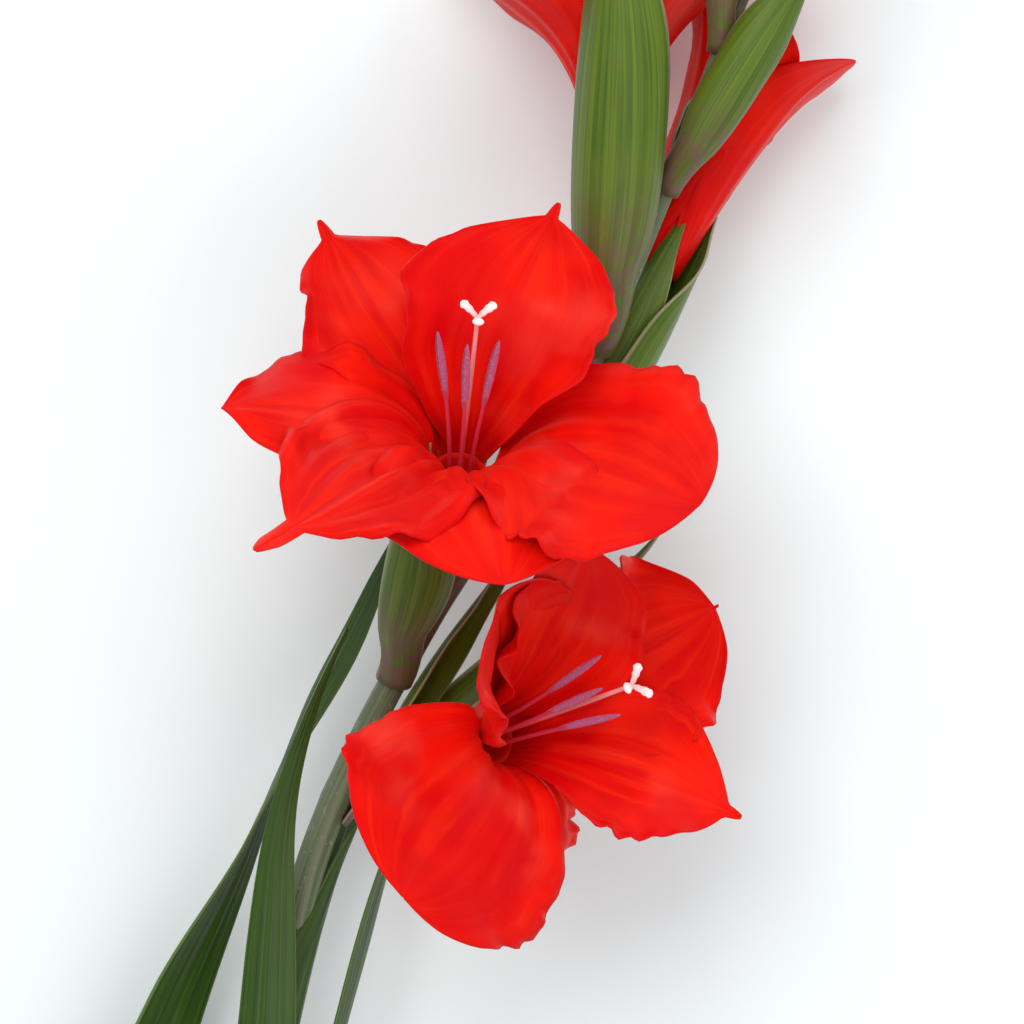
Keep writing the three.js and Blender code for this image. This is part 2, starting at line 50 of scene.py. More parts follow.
# ---------------------------------------------------------------- driving sizes, as in the CAD model
GAP = 0.3
STEM_RADIUS = 3.7
STEM_TIP_RADIUS = 1.1
STEM_BELOW = 258
INTERNODES = [30, 39, 38, 35, 30, 26, 22, 18]
STEM_RISE = 5.2
STEM_SWAY = [21, 20, 17.5, 13.5, 6, -4.2, -3.6, 3.6, 2.6, -0.5, -0.5]
STEM_RINGS = 33  # rings of the CAD stem, evenly spaced from its cut end to its tip
TUBE_LENGTH = 50
TUBE_RADIUS = 2.4
THROAT_DEPTH = 12
MOUTH_RADIUS = 5.6
TEPAL_LENGTH = 55
TEPAL_WIDTH = 40
TEPAL_LAYER = 0.9
STAMEN_LENGTH = 29
FILAMENT_RADIUS = 0.5
ANTHER_LENGTH = 13
ANTHER_RADIUS = 1.05
STYLE_LENGTH = 35
STYLE_RADIUS = 0.55
STIGMA_LENGTH = 4.4
BRACT_LENGTH = 84
BRACT_RADIUS = 8.4
BRACT_THICKNESS = 0.9
LEAF_THICKNESS = 1.0
LEAF_SHEATH_RADIUS = (STEM_RADIUS + GAP + LEAF_THICKNESS / 2) * 1.08
LEAF_SHEATH_PITCH = (LEAF_THICKNESS + GAP) * 1.35
BUD_LENGTH = 50
BUD_RADIUS = 4.6
BUD_SWELL = [0.34, 0.66, 0.94, 1, 0.84, 0.3]

# What shows is thinner than the CAD sheets.
PETAL_SKIN = 0.35
TUBE_SKIN = 0.5
BRACT_SKIN = 0.5
LEAF_SKIN = 0.6

# What a tepal or an outer bract has when its own entry doesn't say.
WIDEST, BLUNT, PLEAT = 0.58, 0.72, 0.25
NO_FINGER = (0.3, 1)
OPEN_RUFFLE, CLOSED_RUFFLE = 1.6, 0.9
OUTER_CLASP = 150
THREAD_PLACE = 1.7  # how far from the throat's axis the stamens and the style start

# Where the seeds of each kind's uneven edges start.
BRACT_SEED, BUD_BRACT_SEED, LEAF_SEED = 900, 950, 970

# ---------------------------------------------------------------- the flowers
# As in the CAD model. Some tepals say where along them they are widest, how blunt they are (smaller is
# rounder) and how far they lean, in tepal lengths. Only here, some also have a finger (half the width of
# their fingerlike tip in mm, and where along them the tip starts), a ruffle (how far the margin waves, in mm)
# and a pleat (how deep the folds are, as a share of the ruffle), and one outer bract says by how many degrees
# each side its foot clasps the stem. flower_3 shows broader tepals than its CAD nodes have.
FLOWERS = [
    {
        "side": -20, "rise": (12, 14), "reach": (0.32, 0.49, 0.51), "face": (42, 52), "open": True,
        "outer_bract": {
            "yaw": 18, "pitch": 5, "keel": -20,
            "wrap": (114, 104, 84, 65, 40), "girth": 1, "length": 0.98, "clasp": 60,
        },
        "inner_bract": {
            "yaw": 10, "pitch": 8, "keel": -150,
            "wrap": (50, 65, 60, 50, 35), "girth": 0.72, "length": 0.7,
        },
        "tepals": [
            {
                "around": 36, "bend": (14, 42, 62, 66), "length": 0.92, "width": 0.88, "cup": 12,
                "blunt": 0.95, "finger": (1.5, 0.95),
            },
            {
                "around": 98, "bend": (14, 46, 62, 76), "length": 0.92, "width": 1.05, "cup": 14,
                "ruffle": 2.2, "finger": (0.6, 0.98),
            },
            {"around": 156, "bend": (10, 33, 46, 58), "length": 0.8, "width": 1, "cup": 16},
            {"around": 207, "bend": (10, 34, 40, 44), "length": 0.8, "width": 1, "cup": 12},
            {
                "around": 294, "bend": (18, 74, 102, 95), "length": 0.9, "width": 1.42, "cup": -10,
                "blunt": 0.5, "widest": 0.6, "ruffle": 1.7,
            },
            {"around": 352, "bend": (24, 92, 140, 165), "length": 0.66, "width": 0.7, "cup": -10},
        ],
    },
    {
        "side": 110, "rise": (-8, 24), "reach": (-0.12, 0.8, 0.44), "face": (-21, 45), "open": True,
        "outer_bract": {
            "yaw": -12, "pitch": 24, "keel": 150,
            "wrap": (112, 124, 120, 90, 50), "girth": 0.9, "length": 0.62,
        },
        "inner_bract": {
            "yaw": -10, "pitch": 8, "keel": -60,
            "wrap": (50, 65, 60, 50, 35), "girth": 0.8, "length": 0.9,
        },
        "tepals": [
            {
                "around": 72, "bend": (10, 34, 46, 58), "length": 1, "width": 1.25, "cup": 4,
                "widest": 0.55, "blunt": 0.9, "lean": 0.07, "finger": (1.4, 0.95),
            },
            {
                "around": 128, "bend": (16, 58, 70, 66), "length": 1, "width": 0.98, "cup": 14,
                "finger": (1.6, 0.93),
            },
            {"around": 190, "bend": (12, 55, 84, 84), "length": 1, "width": 0.85, "cup": -8, "blunt": 1},
            {
                "around": 230, "bend": (14, 62, 84, 78), "length": 1.3, "width": 1, "cup": -12,
                "widest": 0.5, "blunt": 0.9, "finger": (2.3, 0.84), "pleat": 0.6,
            },
            {
                "around": 278, "bend": (14, 54, 84, 104), "length": 0.96, "width": 1.2, "cup": -8,
                "pleat": 0.6,
            },
            {
                "around": 329, "bend": (14, 56, 78, 86), "length": 1.03, "width": 1.42, "cup": -8,
                "blunt": 0.6, "ruffle": 1.9,
            },
        ],
    },
    {
        "side": -20, "rise": (6, -2), "reach": (0.03, 1.12, -0.11), "face": (3, -7), "open": False,
        "outer_bract": {
            "yaw": 3, "pitch": -4, "keel": -20,
            "wrap": (100, 112, 106, 95, 50), "girth": 0.98, "length": 0.84,
        },
        "inner_bract": {
            "yaw": 5, "pitch": -4, "keel": 120,
            "wrap": (30, 50, 70, 60, 35), "girth": 0.74, "length": 0.74,
        },
        "tepals": [
            {"around": 30, "bend": (2, 6, 14, 42), "length": 1.05, "width": 0.62, "cup": 0},
            {"around": 90, "bend": (2, 6, 14, 42), "length": 1.02, "width": 0.62, "cup": 0},
            {"around": 150, "bend": (2, 6, 14, 42), "length": 1.05, "width": 0.62, "cup": 0},
            {"around": 210, "bend": (2, 6, 14, 42), "length": 1.02, "width": 0.62, "cup": 0},
            {"around": 270, "bend": (2, 6, 14, 36), "length": 1, "width": 0.62, "cup": 0},
            {"around": 330, "bend": (2, 6, 14, 42), "length": 1.05, "width": 0.62, "cup": 0},
        ],
    },
    {
        "side": 104, "rise": (-20, 2), "reach": (-0.34, 0.88, -0.15), "face": (-26, -10), "open": False,
        "outer_bract": {
            "yaw": -21, "pitch": 5, "keel": 125,
            "wrap": (112, 124, 112, 95, 50), "girth": 1.14, "length": 1.14,
        },
        "inner_bract": {
            "yaw": -22, "pitch": -2, "keel": 0,
            "wrap": (30, 50, 60, 50, 30), "girth": 0.86, "length": 0.6,
        },
        "tepals": [
            {"around": 30, "bend": (12, 34, 44, 46), "length": 0.95, "width": 0.9, "cup": 10},
            {
                "around": 90, "bend": (14, 33, 34, 26), "length": 0.88, "width": 0.9, "cup": 10,
                "finger": (1.2, 0.94),
            },
            {"around": 150, "bend": (12, 34, 50, 60), "length": 0.95, "width": 0.9, "cup": 8},
            {"around": 210, "bend": (14, 48, 74, 84), "length": 0.98, "width": 0.85, "cup": 4},
            {"around": 270, "bend": (8, 18, 26, 30), "length": 0.95, "width": 0.9, "cup": 8},
            {
                "around": 326, "bend": (14, 44, 62, 74), "length": 0.9, "width": 0.8, "cup": 8,
                "finger": (1.8, 0.88),
            },
        ],
    },
]
STAMENS = [
    {"place": 180, "lean": 4, "aside": -3.4},
    {"place": 270, "lean": 3, "aside": -1},
    {"place": 0, "lean": 3, "aside": 1.6},
]
BUDS = [
    {"side": 75, "yaw": 5, "size": 1, "bracts": ("outer", "inner")},
    {"side": 150, "yaw": -9, "size": 0.84, "bracts": ("outer",)},
    {"side": 30, "yaw": 9, "size": 0.7, "bracts": ("outer",)},
    {"side": 150, "yaw": -9, "size": 0.56, "bracts": ("outer",)},
    {"side": 0, "yaw": 0, "size": 0.46, "bracts": ()},
]
LEAVES = {
    "leaf_sheath": {
        "layer": 0, "start": -114, "end": 30,
        "aside": (0, 0, 0, 0, 1, 2, 3),
        "above": (0, 0, 0, 0, -4, -9, -11),
        "turn": (90, 90, 90, 84, 96, 120, 130),
        "width": (0, 0, 0, 20, 12, 8, 0.6),
        "wrap": (160, 160, 158, 130, 70, 20, 10),
    },
    "leaf_front": {
        "layer": 1, "start": -162, "end": 32,
        "aside": (0, 0, 0, 0.5, -5, -12.2, -16.6),
        "above": (0, 0, 0, 0, 3, 6, 7),
        "turn": (0, 0, 0, 0, 4, 12, 20),
        "width": (0, 0, 20, 14, 10, 4.4, 0.4),
        "wrap": (160, 160, 130, 40, 22, 18, 8),
    },
    "leaf_edge": {
        "layer": 2, "start": -142, "end": 40,
        "aside": (0, 0, 4, 6, 7.5, 6, 0),
        "above": (0, 0, -3, -6, -11, -17, -22),
        "turn": (90, 90, 86, 74, 72, 80, 90),
        "width": (0, 0, 14, 10, 9, 7, 0.6),
        "wrap": (150, 130, 50, 20, 14, 12, 8),
    },
    "leaf_back": {
        "layer": 0, "start": -210, "end": 64,
        "aside": (0, -3.5, -13, -22, -18, -8, -8, -13),
        "above": (0, 0, -2, -3, -6, -9, -10, -11),
        "turn": (-95, -100, -130, -150, -150, -115, -40, -20),
        "width": (0, 20, 17, 16, 14, 8, 6.4, 0.6),
        "wrap": (160, 86, 30, 15, 12, 16, 12, 8),
    },
    "leaf_low": {
        "layer": 0, "start": -248, "end": -102,
        "aside": (0, 2.5, 9, 14, 17, 18),
        "above": (0, 0, 0, -1, -3, -5),
        "turn": (60, 60, 50, 30, 10, 0),
        "width": (0, 18, 14, 11, 7, 0.6),
        "wrap": (160, 86, 36, 20, 12, 8),
    },
}


# ---------------------------------------------------------------- curves and frames
def vec(x, y, z):
    return np.array([x, y, z], float)


def unit(v):
    return v / np.linalg.norm(v, axis=-1, keepdims=True)


def heading(yaw, pitch):
    """A direction: yaw turns from +Y towards +X, pitch lifts it above the surface."""
    yaw, pitch = math.radians(yaw), math.radians(pitch)
    return vec(math.sin(yaw) * math.cos(pitch), math.cos(yaw) * math.cos(pitch), math.sin(pitch))


def through(values, t):
    """A smooth curve through evenly spaced values, read at t from 0 to 1."""
    values = np.asarray(values, float)
    x = np.clip(t, 0, 1) * (len(values) - 1)
    i = np.minimum(np.floor(x).astype(int), len(values) - 2)
    f = x - i
    a, b, c = values[np.maximum(i - 1, 0)], values[i], values[i + 1]
    d = values[np.minimum(i + 2, len(values) - 1)]
    return b + 0.5 * f * (c - a + f * (2 * a - 5 * b + 4 * c - d + f * (3 * (b - c) + d - a)))


def ease(low, high, x):
    """0 below low, 1 above high, and smooth between them."""
    s = np.clip((np.asarray(x, float) - low) / (high - low), 0, 1)
    return s * s * (3 - 2 * s)


def irregular(seed, x, slowest, fastest, waves=5):
    """An uneven wave of about unit height, with so many cycles for x from 0 to 1."""
    dice = random.Random(seed)
    total = 0
    for _ in range(waves):
        cycles = dice.uniform(slowest, fastest)
        total = total + np.sin(2 * math.pi * (cycles * x + dice.random()))
    return total / math.sqrt(waves)


def outline(t, base, widest, blunt):
    """Half-width of a sheet as a share of its widest: from base at t 0, to 1 at widest, to a tip at 1."""
    rising = base + (1 - base) * np.sin(np.clip(math.pi / 2 * t / widest, 0, math.pi / 2)) ** 1.3
    falling = np.maximum(1 - (np.maximum(t - widest, 0) / (1 - widest)) ** 2, 0) ** blunt
    return np.maximum(np.where(t < widest, rising, falling), 0.012)


def frames_along(line, first_normal):
    """Points, tangents, inner normals and sideways directions along a line."""
    tangents = unit(np.gradient(line, axis=0))
    normals = np.empty_like(line)
    normal = first_normal
    for i, tangent in enumerate(tangents):
        normal = unit(normal - np.dot(normal, tangent) * tangent)
        normals[i] = normal
    return line, tangents, normals, np.cross(tangents, normals)


def bezier(a, b, c, d, t):
    t = t[:, None]
    return (1 - t) ** 3 * a + 3 * (1 - t) ** 2 * t * b + 3 * (1 - t) * t * t * c + t**3 * d


def towards_tip(rows, power=1.35):
    """Values from 0 to 1, closer together towards 1."""
    return 1 - (1 - np.linspace(0, 1, rows)) ** power


# ---------------------------------------------------------------- the stem's line and how it was laid down
STEM_LENGTH = STEM_BELOW + sum(INTERNODES)
NODE_HEIGHTS = [sum(INTERNODES[:i]) for i in range(len(INTERNODES) + 1)]


def stem_points(y):
    """Points on the stem's axis as it grew, y being measured from the lowest flower's node."""
    y = np.asarray(y, float)
    sway = through(STEM_SWAY, (y + STEM_BELOW) / STEM_LENGTH)
    return np.stack([sway, y, (y + STEM_BELOW) * math.tan(math.radians(STEM_RISE))], -1)


def stem_radius(y):
    t = (np.asarray(y, float) + STEM_BELOW) / STEM_LENGTH
    return STEM_RADIUS + (STEM_TIP_RADIUS - STEM_RADIUS) * np.maximum(0, t - 0.35) / 0.65


def laying_down():
    """The turn and shift from the spike as it grew to the spike as it lies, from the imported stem's rings."""
    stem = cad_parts["stem"].data
    packed = np.array([vertex.co[:] for vertex in stem.vertices]) / MM
    packed = np.unique(packed.round(3), axis=0)
    packed = packed[np.argsort(packed[:, 1])]
    lies = packed.reshape(STEM_RINGS, -1, 3).mean(axis=1)
    grew = stem_points(np.linspace(-STEM_BELOW, NODE_HEIGHTS[-1], STEM_RINGS))
    a, b = lies.mean(axis=0), grew.mean(axis=0)
    u, _, v = np.linalg.svd((grew - b).T @ (lies - a))
    turn = v.T @ np.diag([1, 1, np.sign(np.linalg.det(v.T @ u.T))]) @ u.T
    return turn, a - turn @ b


TURN, SHIFT = laying_down()


def lay(points):
    return points @ TURN.T + SHIFT


# ---------------------------------------------------------------- meshes
class Shell:
    """Collects the grids that make one piece. Each grid is rows by columns of points, with its grain: how
    far across and how far along the piece each point is, which the materials read."""

    def __init__(self):
        self.points, self.faces, self.grain, self.slots = [], [], [], []

    def add(self, grid, across, along, slot=0, round_=False, ends=(False, False)):
        rows, columns = grid.shape[:2]
        first = len(self.points)
        self.points.extend(grid.reshape(-1, 3))
        u = np.broadcast_to(across, (rows, columns)).ravel()
        v = np.broadcast_to(np.asarray(along)[:, None], (rows, columns)).ravel()
        grain = np.stack([u, v], -1)
        wrap = columns if round_ else columns - 1
        for i in range(rows - 1):
            for j in range(wrap):
                k = (j + 1) % columns
                face = [i * columns + j, i * columns + k, (i + 1) * columns + k, (i + 1) * columns + j]
                corners = grain[face].copy()
                if k < j:
                    corners[1:3, 0] = 1 + corners[1:3, 0]
                self.face([first + n for n in face], corners, slot)
        if ends[0]:
            ring = list(range(columns))[::-1]
            self.face([first + n for n in ring], grain[ring], slot if ends[0] is True else ends[0])
        if ends[1]:
            ring = [(rows - 1) * columns + n for n in range(columns)]
            self.face([first + n for n in ring], grain[ring], slot if ends[1] is True else ends[1])

    def face(self, corners, grain, slot):
        self.faces.append(corners)
        self.grain.extend(grain)
        self.slots.append(slot)

    def piece(self, node, materials, thickness=0):
        """Makes the Blender piece that shows in place of a CAD node."""
        mesh = bpy.data.meshes.new(f"{node}_fine")
        mesh.from_pydata((lay(np.array(self.points)) * MM).tolist(), [], self.faces)
        mesh.uv_layers.new(name="grain").data.foreach_set("uv", np.array(self.grain, float).ravel())
        for material in materials:
            mesh.materials.append(material)
        mesh.polygons.foreach_set("material_index", self.slots)
        mesh.shade_smooth()
        mesh.update()
        made = bpy.data.objects.new(f"{node}_fine", mesh)
        bpy.context.scene.collection.objects.link(made)
        if thickness:
            skin = made.modifiers.new("skin", "SOLIDIFY")
            skin.thickness = thickness * MM
            skin.offset = 0
        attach(made, "root")
        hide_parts(node)
        return made


def sheet_grid(frames, half, curl, across):
    """Points and outward normals of a sheet that curls towards its frames' normals, curl in 1/mm."""
    point, _, normal, side = (part[:, None] for part in frames)
    curl = np.where(np.abs(curl) < 1e-5, 1e-5, curl)[:, None]
    angle = half[:, None] * across * curl
    sine, cosine = np.sin(angle)[..., None], np.cos(angle)[..., None]
    radius = 1 / curl[..., None]
    return point + side * sine * radius + normal * (1 - cosine) * radius, normal * cosine - side * sine


def round_grid(line, radius, sides, first_normal=(0.1, 0.2, 1), squash=1, lobes=None):
    """Rings of points round a line. radius is one value for each point, and lobes(angle) varies it round."""
    _, _, normal, side = frames_along(np.asarray(line), np.array(first_normal, float))
    angle = np.linspace(0, 2 * math.pi, sides, endpoint=False)
    reach = np.asarray(radius)[:, None] * (lobes(angle) if lobes else np.ones(sides))
    across = side[:, None] * (reach * np.cos(angle))[..., None]
    up = normal[:, None] * (reach * np.sin(angle) * squash)[..., None]
    return np.asarray(line)[:, None] + across - up, angle / (2 * math.pi)


# ---------------------------------------------------------------- material building blocks
def new_material(name):
    material = bpy.data.materials.new(name)
    material.use_nodes = True
    tree = material.node_tree
    return material, tree, tree.nodes["Principled BSDF"]


def node(tree, kind, inputs=(), **settings):
    """A shader node with its settings. An input is a plain value or the output that feeds it."""
    made = tree.nodes.new(f"ShaderNode{kind}")
    for name, value in settings.items():
        setattr(made, name, value)
    for name, value in dict(inputs).items():
        if isinstance(value, bpy.types.NodeSocket):
            tree.links.new(value, made.inputs[name])
        else:
            made.inputs[name].default_value = value
    return made


def maths(tree, operation, a, b=0.0):
    return node(tree, "Math", {0: a, 1: b}, operation=operation).outputs[0]


def blend(tree, factor, a, b, mode="MIX"):
    colours = {0: factor, 6: a, 7: b}
    return node(tree, "Mix", colours, data_type="RGBA", blend_type=mode).outputs[2]


def between(tree, value, low, high):
    """0 where value is at low, 1 where it is at high, and smooth between them."""
    limits = {"Value": value, "From Min": low, "From Max": high}
    return node(tree, "MapRange", limits, interpolation_type="SMOOTHSTEP").outputs[0]


def grain(tree):
    """How far across and how far along its piece a point is, each from 0 to 1."""
    read = node(tree, "UVMap", uv_map="grain").outputs[0]
    parts = node(tree, "SeparateXYZ", {0: read})
    return read, parts.outputs[0], parts.outputs[1]


def streaks(tree, read, across, along, detail=3.0):
    """Uneven lines that run along the piece: so many across it, and so many changes along it."""
    stretched = node(tree, "Mapping", {"Vector": read, "Scale": (across, along, 1)}).outputs[0]
    inputs = {"Vector": stretched, "Scale": 1.0, "Detail": detail, "Roughness": 0.6}
    return node(tree, "TexNoise", inputs).outputs[0]


def clouds(tree, size, detail=2.0):
    """Soft patches of about this size in millimetres."""
    place = node(tree, "TexCoord").outputs["Object"]
    inputs = {"Vector": place, "Scale": 1 / (size * MM), "Detail": detail}
    return node(tree, "TexNoise", inputs).outputs[0]


def bumped(tree, shader, height, strength, distance):
    inputs = {"Height": height, "Strength": strength, "Distance": distance * MM}
    bump = node(tree, "Bump", inputs)
    tree.links.new(bump.outputs[0], shader.inputs["Normal"])


def finish(
    tree,
    shader,
    colour,
    roughness,
    sheen=0.0,
    subsurface=0.0,
    depth=(1.0, 0.2, 0.1),
    coat=0.0,
    tint=(1, 1, 1, 1),
):
    """Sets the surface. depth is how far red, green and blue light spread inside it, against each other."""
    tree.links.new(colour, shader.inputs["Base Color"])
    shader.inputs["Roughness"].default_value = roughness
    shader.inputs["Specular IOR Level"].default_value = 0.22
    shader.inputs["Specular Tint"].default_value = tint
    shader.inputs["Sheen Tint"].default_value = tint
    shader.inputs["Sheen Weight"].default_value = sheen
    shader.inputs["Sheen Roughness"].default_value = 0.4
    shader.inputs["Coat Weight"].default_value = coat
    shader.inputs["Coat Roughness"].default_value = 0.35
    shader.inputs["Subsurface Weight"].default_value = subsurface
    shader.inputs["Subsurface Radius"].default_value = depth
    shader.inputs["Subsurface Scale"].default_value = 1.2 * MM


def petal_material():
    """Saturated red with painted light: orange streaks of painted highlight where the thin blade would be lit,
    pale pink patches of painted sheen, crimson towards the margin, and fine veins fanning out.
    """
    material, tree, shader = new_material("petal")
    read, u, v = grain(tree)
    centred = maths(tree, "ABSOLUTE", maths(tree, "SUBTRACT", u, 0.5))
    veins = streaks(tree, read, 64, 1.6)
    broad = streaks(tree, read, 12, 1.1, 2.0)
    patches = clouds(tree, 16)
    warm = blend(tree, between(tree, patches, 0.38, 0.66), (0.66, 0.001, 0.002, 1), (0.84, 0.006, 0.002, 1))
    # Painted highlight: broad orange streaks stand in for light shining through the thin, lit blade.
    painted_highlight = maths(tree, "MULTIPLY", between(tree, broad, 0.42, 0.75), 0.7)
    warm = blend(tree, painted_highlight, warm, (0.92, 0.022, 0.004, 1))
    fine = maths(tree, "MULTIPLY", between(tree, veins, 0.5, 0.68), 0.25)
    warm = blend(tree, fine, warm, (0.60, 0.002, 0.006, 1))
    rim = maths(tree, "MULTIPLY", between(tree, centred, 0.44, 0.5), 0.45)
    warm = blend(tree, rim, warm, (0.62, 0.001, 0.008, 1))
    rib = maths(tree, "SUBTRACT", 1.0, between(tree, centred, 0.0, 0.022))
    rib = maths(tree, "MULTIPLY", rib, 0.3)
    warm = blend(tree, rib, warm, (0.66, 0.004, 0.010, 1))
    throat = maths(tree, "SUBTRACT", 1.0, between(tree, v, 0.0, 0.22))
    warm = blend(tree, maths(tree, "MULTIPLY", throat, 0.55), warm, (0.42, 0.001, 0.004, 1))
    # Painted sheen: pale, faintly pink patches where the satin of the inner face would catch the light.
    painted_sheen = between(tree, clouds(tree, 24, 3.0), 0.52, 0.72)
    painted_sheen = maths(tree, "MULTIPLY", painted_sheen, between(tree, v, 0.12, 0.3))
    painted_sheen = maths(tree, "MULTIPLY", painted_sheen, maths(tree, "SUBTRACT", 1.0, between(tree, v, 0.55, 0.85)))
    painted_sheen = maths(tree, "MULTIPLY", painted_sheen, maths(tree, "ADD", 0.12, maths(tree, "MULTIPLY", veins, 0.5)))
    warm = blend(tree, painted_sheen, warm, (0.92, 0.10, 0.07, 1))
    crimson = maths(tree, "MULTIPLY", between(tree, clouds(tree, 30), 0.5, 0.62), 0.55)
    warm = blend(tree, crimson, warm, (0.62, 0.001, 0.006, 1))
    tint = (1, 0.25, 0.15, 1)
    finish(tree, shader, warm, 0.42, sheen=0.06, subsurface=0.2, depth=(1, 0.06, 0.03), tint=tint)
    bumped(tree, shader, veins, 0.25, 0.22)
    return material


def tube_material():
    """A flower's tube: green at its foot, red at its mouth."""
    material, tree, shader = new_material("tube")
    read, _, v = grain(tree)
    veins = streaks(tree, read, 30, 2.0)
    colour = blend(tree, between(tree, v, 0.25, 0.75), (0.12, 0.15, 0.04, 1), (0.78, 0.010, 0.005, 1))
    dark = maths(tree, "MULTIPLY", between(tree, veins, 0.45, 0.7), 0.4)
    colour = blend(tree, dark, colour, (0.5, 0.004, 0.01, 1))
    tint = (1, 0.28, 0.16, 1)
    finish(tree, shader, colour, 0.45, sheen=0.1, subsurface=0.2, depth=(1, 0.08, 0.04), tint=tint)
    bumped(tree, shader, veins, 0.3, 0.25)
    return material


def green_sheet(name, light, dark, base, rim, lines, roughness, coat=0.1):
    """A leaf or bract: parallel veins along it, a flush at its base and pale margins. The fourth number of
    base and of rim is how strongly it shows."""
    material, tree, shader = new_material(name)
    read, u, v = grain(tree)
    centred = maths(tree, "ABSOLUTE", maths(tree, "SUBTRACT", u, 0.5))
    fine = streaks(tree, read, lines, 1.2)
    broad = streaks(tree, read, lines / 6, 0.8, 2.0)
    colour = blend(tree, between(tree, fine, 0.35, 0.65), dark, light)
    shade = maths(tree, "MULTIPLY", between(tree, broad, 0.4, 0.7), 0.5)
    colour = blend(tree, shade, colour, dark)
    patches = maths(tree, "MULTIPLY", between(tree, clouds(tree, 22), 0.4, 0.7), 0.3)
    colour = blend(tree, patches, colour, light)
    flush = maths(tree, "SUBTRACT", 1.0, between(tree, v, 0.02, 0.42))
    speckled = maths(tree, "MULTIPLY", flush, between(tree, clouds(tree, 3.0, 4.0), 0.25, 0.6))
    colour = blend(tree, maths(tree, "MULTIPLY", speckled, base[3]), colour, (*base[:3], 1))
    edge = maths(tree, "MULTIPLY", between(tree, centred, 0.468, 0.496), rim[3])
    colour = blend(tree, edge, colour, (*rim[:3], 1))
    finish(tree, shader, colour, roughness, sheen=0.05, subsurface=0.12, depth=(0.4, 0.9, 0.2), coat=coat)
    bumped(tree, shader, fine, 0.45, 0.2)
    return material


def stem_material():
    """Grey-green with fine lines along it, a brownish flush and pale dots."""
    material, tree, shader = new_material("stem")
    read, _, _ = grain(tree)
    lines = streaks(tree, read, 26, 9.0)
    colour = blend(tree, between(tree, lines, 0.35, 0.65), (0.085, 0.125, 0.055, 1), (0.17, 0.20, 0.115, 1))
    flush = maths(tree, "MULTIPLY", between(tree, clouds(tree, 26), 0.42, 0.62), 0.6)
    colour = blend(tree, flush, colour, (0.16, 0.125, 0.11, 1))
    dots = maths(tree, "MULTIPLY", between(tree, clouds(tree, 1.4, 4.0), 0.58, 0.7), 0.35)
    colour = blend(tree, dots, colour, (0.34, 0.38, 0.27, 1))
    finish(tree, shader, colour, 0.5, sheen=0.1, subsurface=0.1, depth=(0.4, 0.9, 0.2), coat=0.1)
    bumped(tree, shader, lines, 0.3, 0.3)
    return material


def cut_material():
    """The cut face of the stem: pale wet pith with darker bundles."""
    material, tree, shader = new_material("cut_face")
    place = node(tree, "TexCoord").outputs["Object"]
    cells = node(tree, "TexVoronoi", {"Vector": place, "Scale": 1 / (0.9 * MM)}).outputs["Distance"]
    bundles = maths(tree, "SUBTRACT", 1.0, between(tree, cells, 0.08, 0.3))
    colour = blend(tree, bundles, (0.52, 0.58, 0.30, 1), (0.20, 0.26, 0.08, 1))
    finish(tree, shader, colour, 0.35, subsurface=0.2, depth=(0.6, 0.9, 0.3))
    bumped(tree, shader, cells, 0.4, 0.2)
    return material


def thread_material(name, foot, tip, roughness=0.45):
    """A filament or style: one colour at its foot, another at its tip."""
    material, tree, shader = new_material(name)
    read, _, v = grain(tree)
    lines = streaks(tree, read, 10, 8.0)
    colour = blend(tree, between(tree, v, 0.15, 0.95), foot, tip)
    colour = blend(tree, maths(tree, "MULTIPLY", between(tree, lines, 0.4, 0.7), 0.25), colour, foot)
    finish(tree, shader, colour, roughness, subsurface=0.25)
    bumped(tree, shader, lines, 0.2, 0.1)
    return material


def anther_material():
    """Mauve pollen sacs with dark seams and a dusting of pale pollen."""
    material, tree, shader = new_material("anther")
    _, u, _ = grain(tree)
    sac = maths(tree, "FRACT", maths(tree, "MULTIPLY", u, 2.0))
    seam = maths(tree, "ABSOLUTE", maths(tree, "SUBTRACT", sac, 0.5))
    colour = blend(tree, between(tree, seam, 0.2, 0.42), (0.46, 0.10, 0.22, 1), (0.07, 0.006, 0.035, 1))
    dust = between(tree, clouds(tree, 0.5, 2.0), 0.55, 0.66)
    colour = blend(tree, maths(tree, "MULTIPLY", dust, 0.35), colour, (0.62, 0.36, 0.48, 1))
    finish(tree, shader, colour, 0.75, sheen=0.3)
    bumped(tree, shader, dust, 0.5, 0.12)
    return material


def bud_material(name, light, dark, flush):
    """A bud with fine lines along it, flushed towards its tip as strongly as flush's fourth number says."""
    material, tree, shader = new_material(name)
    read, _, v = grain(tree)
    lines = streaks(tree, read, 30, 1.5)
    colour = blend(tree, between(tree, lines, 0.35, 0.65), dark, light)
    top = maths(tree, "MULTIPLY", between(tree, v, 0.25, 0.95), flush[3])
    colour = blend(tree, top, colour, (*flush[:3], 1))
    finish(tree, shader, colour, 0.45, sheen=0.08, subsurface=0.2)
    bumped(tree, shader, lines, 0.35, 0.2)
    return material


